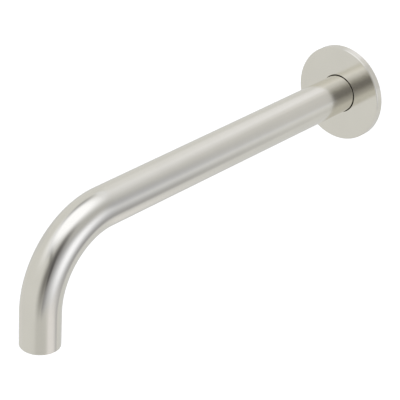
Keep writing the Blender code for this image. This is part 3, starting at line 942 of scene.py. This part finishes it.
@dataclass
class Flange:
    """The flat round cover plate, its O-ring and its foam gasket.

    Args:
        gap: Radial gap between the tube and the plate's bore.
        lip: Metal on each side of the O-ring groove.
        groove_depth: Depth of the O-ring groove from the bore.
        hub_wall: Metal round the groove.
        rim_wall: Metal round the hollow back.
        face_web: Metal in front of the hollow back.
        rounding: Rounding of the rim's front edge.
        bore_rounding: Rounding of the bore's front edge.
        back_chamfer: Chamfer on the rim's back edge.
        gasket_gap: Radial gap between the hub and the gasket.
        grip_gap: Radial gap between the tube and the O-ring.
        segments: Facets round the plate.
        soft_segments: Facets round the gasket and the O-ring.
        section_facets: Facets round the O-ring's section.
    """

    gap: float = 0.0004
    lip: float = 0.001
    groove_depth: float = 0.0021
    hub_wall: float = 0.002
    rim_wall: float = 0.0025
    face_web: float = 0.002
    rounding: float = 0.0005
    bore_rounding: float = 0.0002
    back_chamfer: float = 0.0002
    gasket_gap: float = 0.0004
    grip_gap: float = 0.0001
    segments: int = 256
    soft_segments: int = 128
    section_facets: int = 16

    def build(self) -> None:
        """Builds the plate, the gasket and the O-ring."""
        self.plate()
        self.gasket()
        self.o_ring()

    def plate(self) -> None:
        """The cover plate, hollow at the back, with an O-ring groove in its hub."""
        low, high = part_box("flange_plate")
        rim, front = high.x, -low.y
        bore = Places.TUBE_RADIUS + self.gap
        groove = bore + self.groove_depth
        hub, recess, floor = groove + self.hub_wall, rim - self.rim_wall, front - self.face_web
        at_rim = (rim - self.rounding, front - self.rounding)
        at_bore = (bore + self.bore_rounding, front - self.bore_rounding)
        outline = [
            (bore, 0), (hub, 0), (hub, floor), (recess, floor), (recess, 0),
            (rim - self.back_chamfer, 0), (rim, self.back_chamfer),
            *Bench.arc(at_rim, self.rounding, first=0, last=90),
            *Bench.arc(at_bore, self.bore_rounding, first=90, last=180, steps=4),
            (bore, front - self.lip), (groove, front - self.lip),
            (groove, self.lip), (bore, self.lip),
        ]
        plate = Bench.turned("brushed_flange_plate", outline, self.segments)
        Bench.settle(plate, LAID_ON_ARM)
        across = plate.data.attributes.new(ACROSS_GRAIN, "FLOAT_VECTOR", "POINT")
        for vertex, direction in zip(plate.data.vertices, across.data):
            outwards = Vector((vertex.co.x, 0, vertex.co.z)).normalized()
            direction.vector = outwards - Vector((0, 1, 0))
        Bench.fit(plate, Body.FLANGE, Finishes.NICKEL_TURNED, "flange_plate")

    def gasket(self) -> None:
        """The foam ring in the plate's hollow back, softly rounded where it was cut."""
        low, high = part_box("flange_gasket")
        outer, back, front = high.x, -high.y, -low.y
        hub = Places.TUBE_RADIUS + self.gap + self.groove_depth + self.hub_wall
        inner = hub + self.gasket_gap
        outline = [(inner, back), (outer, back), (outer, front), (inner, front)]
        gasket = Bench.turned("foam_gasket", outline, self.soft_segments)
        Bench.round_edges(gasket, width=0.0004)
        Bench.settle(gasket, LAID_ON_ARM)
        Bench.fit(gasket, Body.FLANGE, Finishes.FOAM, "flange_gasket")

    def o_ring(self) -> None:
        """The O-ring that grips the tube."""
        low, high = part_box("flange_o_ring")
        inner, outer = Places.TUBE_RADIUS + self.grip_gap, high.x
        middle, height = (inner + outer) / 2, -(low.y + high.y) / 2
        half = min(outer - inner, high.y - low.y) / 2
        last = 360 - 360 / self.section_facets
        outline = Bench.arc((middle, height), half, 0, last, self.section_facets - 1)
        ring = Bench.turned("rubber_flange_o_ring", outline, self.soft_segments)
        Bench.settle(ring, LAID_ON_ARM)
        Bench.fit(ring, Body.GRIP, Finishes.RUBBER, "flange_o_ring", smooth=60)


# ---- Aerator ----


@dataclass
class Aerator:
    """The plastic insert that screws into the outlet.

    Args:
        thread_root: Root radius of its thread.
        thread_crest: Crest radius of its thread.
        pitch: The thread's pitch.
        wall: The housing's wall.
        lip_width: Width of the lip that carries the honeycomb.
        lip_thickness: Thickness of that lip.
        first_turn: Height of the thread's first turn above the housing's foot, in pitches.
        notches: Notches for the fitter's key.
        notch_width: Width of a notch.
        notch_depth: Depth of a notch.
        segments: Facets round the housing and the honeycomb.
        cell_pitch: Distance between the honeycomb's cells.
        cell_wall: Wall between the honeycomb's cells.
    """

    thread_root: float = 0.00765
    thread_crest: float = 0.0082
    pitch: float = 0.001
    wall: float = 0.001
    lip_width: float = 0.0013
    lip_thickness: float = 0.0009
    first_turn: float = 1.6
    notches: int = 8
    notch_width: float = 0.0016
    notch_depth: float = 0.0006
    segments: int = 96
    cell_pitch: float = 0.0015
    cell_wall: float = 0.00035

    def build(self) -> None:
        """Builds the pieces that show below and dresses those inside."""
        self.housing()
        self.honeycomb()
        for node in ("aerator_core", "aerator_diffuser", "aerator_strainer"):
            Bench.dress(node, Finishes.PLASTIC)
        for node in ("aerator_mesh_bottom", "aerator_mesh_middle", "aerator_mesh_top"):
            Bench.dress(node, Finishes.WIRE)
        Bench.dress("aerator_washer", Finishes.RUBBER)

    def housing(self) -> None:
        """The threaded shell with its key notches."""
        low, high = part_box("aerator_housing")
        bottom, top = low.z - Places.OUTLET.z, high.z - Places.OUTLET.z
        bore = self.thread_root - self.wall
        lip, lip_top = bore - self.lip_width, bottom + self.lip_thickness
        outline = [
            (lip, bottom), (self.thread_root, bottom), (self.thread_root, top), (bore, top),
            (bore, lip_top), (lip, lip_top),
        ]
        shell = Bench.turned("plastic_aerator_housing", outline, self.segments)
        cutters = []
        for index in range(self.notches):
            Bench.clear()
            bpy.ops.mesh.primitive_cube_add(size=1, location=(self.thread_root, 0, bottom))
            bar = bpy.context.active_object
            bar.scale = (2 * self.wall, self.notch_width, 2 * self.notch_depth)
            bpy.ops.object.transform_apply(location=True, scale=True)
            Bench.settle(bar, turn=(0, 0, (index + 0.5) * tau / self.notches))
            cutters.append(bar)
        Bench.round_edges(shell, width=0.00012, segments=2)
        Bench.cut(shell, Bench.joined(cutters))
        ridge = Bench.thread(
            self.thread_root, self.thread_crest, self.pitch,
            angle=60, start=bottom + self.first_turn * self.pitch, turns=5,
        )
        housing = Bench.joined([shell, ridge])
        Bench.settle(housing, place=Places.OUTLET)
        Bench.fit(housing, Body.SHELL, Finishes.PLASTIC, "aerator_housing")

    def honeycomb(self) -> None:
        """The grid of hexagonal cells that the water leaves through."""
        low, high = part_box("aerator_honeycomb")
        radius, bottom, top = high.x, low.z - Places.OUTLET.z, high.z - Places.OUTLET.z
        disc = Bench.prism(self.segments, radius, bottom, top)
        disc.name = "plastic_aerator_honeycomb"
        corner = (self.cell_pitch - self.cell_wall) / 2 * CORNER_PER_FLAT
        rings = int(radius / self.cell_pitch) + 1
        cutters = []
        for column in range(-rings, rings + 1):
            for row in range(-2 * rings, 2 * rings + 1):
                x = self.cell_pitch * cos(pi / 6) * column
                y = self.cell_pitch * (row + column / 2)
                if Vector((x, y)).length + corner < radius - self.cell_wall:
                    cell = Bench.prism(HEXAGON, corner, bottom - OVERCUT, top + OVERCUT)
                    Bench.settle(cell, place=(x, y, 0))
                    cutters.append(cell)
        Bench.cut(disc, Bench.joined(cutters))
        Bench.round_edges(disc, width=0.00006, segments=1)
        Bench.settle(disc, place=Places.OUTLET)
        Bench.fit(disc, Body.CARTRIDGE, Finishes.PLASTIC, "aerator_honeycomb", smooth=25)


# ---- Studio ----


@dataclass(frozen=True)
class SoftPatch:
    """A soft-edged patch of the light tent.

    Args:
        heading: Direction of its middle from +Y towards +X, in degrees.
        height: Elevation of its middle, in degrees.
        half_width: Half its width, in degrees.
        half_height: Half its height, in degrees.
        softness: Share of the patch that is faded, from 0 to 1.
        lean: Its turn about its own middle, in degrees.
        light: The colour and brightness of its middle.
    """

    heading: float
    height: float
    half_width: float
    half_height: float
    softness: float
    lean: float
    light: Colour


@dataclass
class LightTent:
    """White cloth all round, with brighter panels and darker openings.

    Args:
        cloth: The colour and brightness of the bare cloth.
        patches: The panels and openings, each laid over those before it.
    """

    cloth: Colour = (0.681, 0.680, 0.664)
    patches: Sequence[SoftPatch] = (
        SoftPatch(90.3, -17.9, 88.0, 47.0, 0.16, -71.1, (0.355, 0.357, 0.377)),
        SoftPatch(80.0, 1.8, 62.4, 44.0, 0.96, 37.0, (1.090, 1.112, 1.201)),
        SoftPatch(72.6, -58.8, 51.1, 36.9, 0.27, -32.7, (0.810, 0.794, 0.801)),
        SoftPatch(47.2, 49.8, 15.6, 86.7, 0.58, -1.2, (0.380, 0.395, 0.461)),
        SoftPatch(144.0, 9.9, 31.9, 87.2, 1.00, -0.2, (0.219, 0.214, 0.203)),
        SoftPatch(-3.1, 40.1, 11.7, 45.0, 0.66, 80.3, (0.862, 0.861, 0.885)),
        SoftPatch(-130.8, 68.2, 51.2, 21.6, 0.48, -21.5, (0.004, 0.002, 0.000)),
        SoftPatch(173.6, 42.3, 61.1, 5.0, 1.00, -24.3, (0.046, 0.045, 0.036)),
        SoftPatch(82.0, 70.3, 77.5, 50.6, 0.37, -53.4, (0.487, 0.486, 0.482)),
        SoftPatch(-44.4, -25.7, 88.0, 14.6, 0.15, 29.4, (0.638, 0.642, 0.636)),
        SoftPatch(197.8, 82.4, 44.2, 79.5, 0.66, -7.9, (1.149, 1.166, 1.235)),
        SoftPatch(18.1, 29.4, 13.9, 24.6, 0.31, -61.4, (0.715, 0.706, 0.695)),
        SoftPatch(-19.6, 52.5, 24.9, 6.1, 0.45, -18.3, (0.798, 0.811, 0.844)),
        SoftPatch(156.2, -60.0, 32.8, 70.0, 0.36, -65.7, (0.581, 0.579, 0.561)),
        SoftPatch(31.0, 23.0, 23.7, 9.2, 0.24, 56.3, (0.614, 0.609, 0.602)),
        SoftPatch(131.5, 33.8, 20.0, 41.1, 0.90, -35.3, (0.157, 0.152, 0.153)),
        SoftPatch(132.5, 17.2, 8.3, 24.9, 0.62, 2.0, (0.115, 0.111, 0.113)),
    )

    def build(self) -> None:
        """Hangs the tent as the scene's world. Past the object, the camera sees plain white."""
        world = bpy.data.worlds.new("light_tent")
        bpy.context.scene.world = world
        world.use_nodes = True
        wiring = Wiring(world.node_tree)
        direction = wiring.add("TexCoord", "Generated")
        light = wiring.add("RGB", "Color")
        light.default_value = (*self.cloth, 1)
        for patch in self.patches:
            light = self._lay(wiring, direction, light, patch)
        seen = wiring.add("LightPath", "Is Camera Ray")
        shown = wiring.mix(seen, light, (1, 1, 1, 1))
        wiring.feed(world.node_tree.nodes["Background"], {"Color": shown})
        log.info("light tent with %d patches", len(self.patches))

    def _lay(self, wiring: Wiring, direction: Socket, under: Socket, patch: SoftPatch) -> Socket:
        """Lays one patch over what is there.

        Args:
            wiring: The world's wiring.
            direction: The direction looked in.
            under: The light before this patch.
            patch: The patch.

        Returns:
            The light with the patch.
        """
        facing = Matrix.Rotation(-radians(patch.heading), 3, "Z")
        facing = facing @ Matrix.Rotation(radians(patch.height), 3, "X")
        facing = facing @ Matrix.Rotation(radians(patch.lean), 3, "Y")
        half_sizes = (sin(radians(patch.half_width)), 1, sin(radians(patch.half_height)))
        inputs = {"Vector": direction, "Rotation": facing.to_euler(), "Scale": half_sizes}
        x, y, z = wiring.split(wiring.add("Mapping", "Vector", inputs, vector_type="TEXTURE"))
        edge = {"Value": wiring.length(x, z), "From Min": 1, "From Max": 1 - patch.softness}
        fade = wiring.add("MapRange", "Result", edge, interpolation_type="SMOOTHSTEP")
        share = wiring.math("MULTIPLY", fade, wiring.math("GREATER_THAN", y, 0))
        return wiring.mix(share, under, (*patch.light, 1))


@dataclass
class Studio:
    """The floor, the light tent and the camera.

    Args:
        floor_depth: How far the floor lies below the outlet.
        floor_size: The floor's side.
        floor_tone: How light the floor is, from 0 to 1.
        floor_roughness: The floor's roughness.
        floor_glow: How much the floor is lit from within, so that no shadow greys it.
        camera_place: Where the camera stands.
        camera_heading: Where it looks, from +Y towards +X, in radians.
        camera_pitch: How far it looks down, in radians.
        camera_roll: How far it is rolled, in radians.
        lens: Focal length in millimetres.
        sensor: The sensor's width in millimetres.
    """

    floor_depth: float = 0.5
    floor_size: float = 12.0
    floor_tone: float = 0.93
    floor_roughness: float = 0.9
    floor_glow: float = 0.4
    camera_place: tuple[float, float, float] = (0.61082, -0.87544, 0.49153)
    camera_heading: float = -0.68414
    camera_pitch: float = 0.49126
    camera_roll: float = 0.05858
    lens: float = 179.56
    sensor: float = 36

    def build(self) -> None:
        """Sets the studio up."""
        LightTent().build()
        self.floor()
        self.camera()
        bpy.context.scene.view_settings.view_transform = "Standard"
        bpy.context.scene.view_settings.look = "None"

    def floor(self) -> None:
        """A plain pale floor well below the spout, which the metal doesn't mirror."""
        Bench.clear()
        bpy.ops.mesh.primitive_plane_add(
            size=self.floor_size,
            location=(0, -Places.REACH / 2, Places.OUTLET.z - self.floor_depth),
        )
        floor = bpy.context.active_object
        floor.name = "studio_floor"
        floor.visible_glossy = False
        material = bpy.data.materials.new("pale_floor")
        material.use_nodes = True
        shader = material.node_tree.nodes["Principled BSDF"]
        shader.inputs["Base Color"].default_value = (*(self.floor_tone,) * 3, 1)
        shader.inputs["Roughness"].default_value = self.floor_roughness
        shader.inputs["Emission Color"].default_value = (1, 1, 1, 1)
        shader.inputs["Emission Strength"].default_value = self.floor_glow
        floor.data.materials.append(material)

    def camera(self) -> None:
        """The camera, above and to the right of the spout."""
        lens = bpy.data.cameras.new("camera")
        lens.lens = self.lens
        lens.sensor_width = self.sensor
        lens.clip_start = 0.01
        lens.clip_end = 50
        camera = bpy.data.objects.new("camera", lens)
        bpy.context.scene.collection.objects.link(camera)
        turn = Matrix.Rotation(-self.camera_heading, 4, "Z")
        tilt = Matrix.Rotation(pi / 2 - self.camera_pitch, 4, "X")
        roll = Matrix.Rotation(self.camera_roll, 4, "Z")
        camera.matrix_world = Matrix.Translation(self.camera_place) @ turn @ tilt @ roll
        bpy.context.scene.camera = camera


# ---- Whole ----


def main() -> None:
    """Builds every sub-assembly and the studio."""
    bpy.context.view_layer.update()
    for assembly in (Spout(), WallNipple(), Flange(), Aerator(), Studio()):
        log.info("building %s", type(assembly).__name__)
        assembly.build()


if __name__ == "__main__":
    main()
